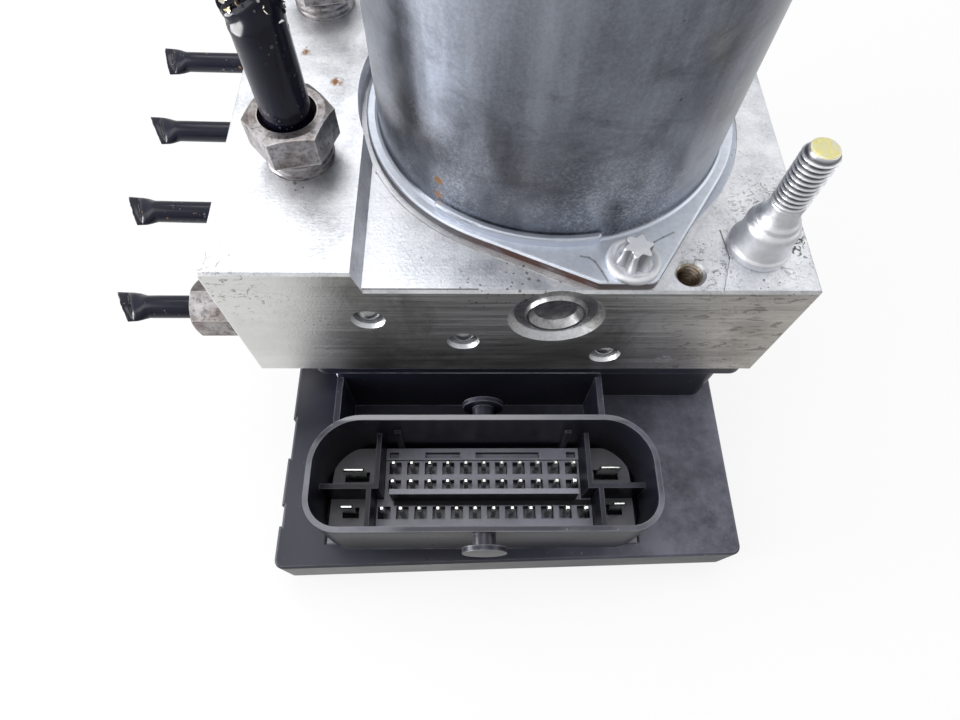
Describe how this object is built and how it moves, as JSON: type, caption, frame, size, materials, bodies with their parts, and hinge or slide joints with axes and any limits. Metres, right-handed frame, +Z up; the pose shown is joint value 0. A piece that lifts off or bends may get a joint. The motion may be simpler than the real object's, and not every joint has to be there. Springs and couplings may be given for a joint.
{
  "type": "abs brake module",
  "caption": "Anti-lock brake unit: a milled hydraulic block with an upright pump motor, cut brake pipes, and a black control unit below with an open connector socket.",
  "frame": {"origin": "on the motor axis at the underside of the control unit's cover", "axes": "+Z up the motor axis, -Y towards the connector side, -X towards the wheel pipes"},
  "size_m": [0.1432, 0.1295, 0.1399],
  "materials": {
    "block_aluminium": "milled, satin",
    "can_steel": "blotchy zinc-plated drawn steel",
    "flange_steel": "stamped zinc-plated steel",
    "bright_steel": "zinc-plated, satin",
    "nut_steel": "dull worn plating",
    "plug_steel": "turned, satin",
    "pipe_coating": "glossy black coating",
    "ecu_plastic": "moulded, satin",
    "guide_plastic": "moulded, satin",
    "terminal_tin": "tin-plated",
    "magnet_ferrite": "sintered, matt",
    "lamination_steel": "stamped stack",
    "copper": "enamelled wire",
    "bearing_steel": "ground",
    "spring_steel": "drawn wire",
    "carbon": "pressed carbon",
    "brush_plate_plastic": "moulded thermoset",
    "gasket_rubber": "moulded seal",
    "board_green": "solder mask",
    "valve_steel": "turned stainless",
    "coil_plastic": "overmoulded winding"
  },
  "bodies": {
    "unit": {"hydraulic_block": "block_aluminium", "motor_can": "can_steel", "motor_flange": "flange_steel", "motor_screws": "bright_steel", "motor_magnets": "magnet_ferrite", "shaft_bearings": "bearing_steel", "brush_plate": "brush_plate_plastic", "carbon_brushes": "carbon", "motor_terminals": "terminal_tin", "mounting_stud": "bright_steel", "passage_balls": "plug_steel", "mc_nuts": "nut_steel", "wheel_nuts": "nut_steel", "solenoid_coils": "coil_plastic", "ecu_housing": "ecu_plastic", "ecu_cover": "ecu_plastic", "ecu_screws": "bright_steel", "housing_gasket": "gasket_rubber", "circuit_board": "board_green", "terminal_guide": "guide_plastic", "signal_pins": "terminal_tin", "power_blades": "terminal_tin", "accumulator_caps": "plug_steel", "mc_pipe_front": "pipe_coating", "pump_plug_front": "plug_steel", "pump_spring_front": "spring_steel", "accumulator_spring_front": "spring_steel", "mc_pipe_rear": "pipe_coating", "pump_plug_rear": "plug_steel", "pump_spring_rear": "spring_steel", "accumulator_spring_rear": "spring_steel", "wheel_pipe_1": "pipe_coating", "inlet_valve_1": "valve_steel", "outlet_valve_1": "valve_steel", "wheel_pipe_2": "pipe_coating", "inlet_valve_2": "valve_steel", "outlet_valve_2": "valve_steel", "wheel_pipe_3": "pipe_coating", "inlet_valve_3": "valve_steel", "outlet_valve_3": "valve_steel", "wheel_pipe_4": "pipe_coating", "inlet_valve_4": "valve_steel", "outlet_valve_4": "valve_steel"},
    "rotor": {"motor_shaft": "bearing_steel", "armature_core": "lamination_steel", "armature_windings": "copper", "commutator": "copper"},
    "pump_ring": {"eccentric_ring": "bearing_steel"},
    "piston_front": {"pump_piston_front": "bearing_steel"},
    "accumulator_front": {"accumulator_piston_front": "bearing_steel"},
    "piston_rear": {"pump_piston_rear": "bearing_steel"},
    "accumulator_rear": {"accumulator_piston_rear": "bearing_steel"},
    "inlet_armature_1": {"inlet_plunger_1": "valve_steel"},
    "outlet_armature_1": {"outlet_plunger_1": "valve_steel"},
    "inlet_armature_2": {"inlet_plunger_2": "valve_steel"},
    "outlet_armature_2": {"outlet_plunger_2": "valve_steel"},
    "inlet_armature_3": {"inlet_plunger_3": "valve_steel"},
    "outlet_armature_3": {"outlet_plunger_3": "valve_steel"},
    "inlet_armature_4": {"inlet_plunger_4": "valve_steel"},
    "outlet_armature_4": {"outlet_plunger_4": "valve_steel"}
  },
  "joints": [
    {"name": "rotor_spin", "type": "hinge", "parent": "unit", "child": "rotor", "pos_m": [0, 0, 0.0589], "axis": [0, 0, 1], "continuous": true},
    {"name": "ring_orbit", "type": "hinge", "parent": "rotor", "child": "pump_ring", "pos_m": [0.001, 0, 0.0589], "axis": [0, 0, 1], "continuous": true},
    {"name": "pump_stroke_front", "type": "slide", "parent": "unit", "child": "piston_front", "axis": [0, -1, 0], "range_m": [0, 0.002], "stiffness_N_per_m": 1000, "springref_m": -0.003, "deforming": ["pump_spring_front"]},
    {"name": "pump_stroke_rear", "type": "slide", "parent": "unit", "child": "piston_rear", "axis": [0, 1, 0], "range_m": [0, 0.002], "stiffness_N_per_m": 1000, "springref_m": -0.003, "deforming": ["pump_spring_rear"]},
    {"name": "accumulator_stroke_front", "type": "slide", "parent": "unit", "child": "accumulator_front", "axis": [1, 0, 0], "range_m": [0, 0.006], "stiffness_N_per_m": 1200, "springref_m": -0.004, "deforming": ["accumulator_spring_front"]},
    {"name": "accumulator_stroke_rear", "type": "slide", "parent": "unit", "child": "accumulator_rear", "axis": [1, 0, 0], "range_m": [0, 0.006], "stiffness_N_per_m": 1200, "springref_m": -0.004, "deforming": ["accumulator_spring_rear"]},
    {"name": "inlet_lift_1", "type": "slide", "parent": "unit", "child": "inlet_armature_1", "axis": [0, 0, 1], "range_m": [0, 0.0004], "stiffness_N_per_m": 500, "springref_m": -0.002},
    {"name": "inlet_lift_2", "type": "slide", "parent": "unit", "child": "inlet_armature_2", "axis": [0, 0, 1], "range_m": [0, 0.0004], "stiffness_N_per_m": 500, "springref_m": -0.002},
    {"name": "inlet_lift_3", "type": "slide", "parent": "unit", "child": "inlet_armature_3", "axis": [0, 0, 1], "range_m": [0, 0.0004], "stiffness_N_per_m": 500, "springref_m": -0.002},
    {"name": "inlet_lift_4", "type": "slide", "parent": "unit", "child": "inlet_armature_4", "axis": [0, 0, 1], "range_m": [0, 0.0004], "stiffness_N_per_m": 500, "springref_m": -0.002},
    {"name": "outlet_lift_1", "type": "slide", "parent": "unit", "child": "outlet_armature_1", "axis": [0, 0, -1], "range_m": [0, 0.0004], "stiffness_N_per_m": 500, "springref_m": -0.002},
    {"name": "outlet_lift_2", "type": "slide", "parent": "unit", "child": "outlet_armature_2", "axis": [0, 0, -1], "range_m": [0, 0.0004], "stiffness_N_per_m": 500, "springref_m": -0.002},
    {"name": "outlet_lift_3", "type": "slide", "parent": "unit", "child": "outlet_armature_3", "axis": [0, 0, -1], "range_m": [0, 0.0004], "stiffness_N_per_m": 500, "springref_m": -0.002},
    {"name": "outlet_lift_4", "type": "slide", "parent": "unit", "child": "outlet_armature_4", "axis": [0, 0, -1], "range_m": [0, 0.0004], "stiffness_N_per_m": 500, "springref_m": -0.002}
  ],
  "couplings": [
    {"joint": "ring_orbit", "follows": "rotor_spin", "ratio": -1}
  ]
}
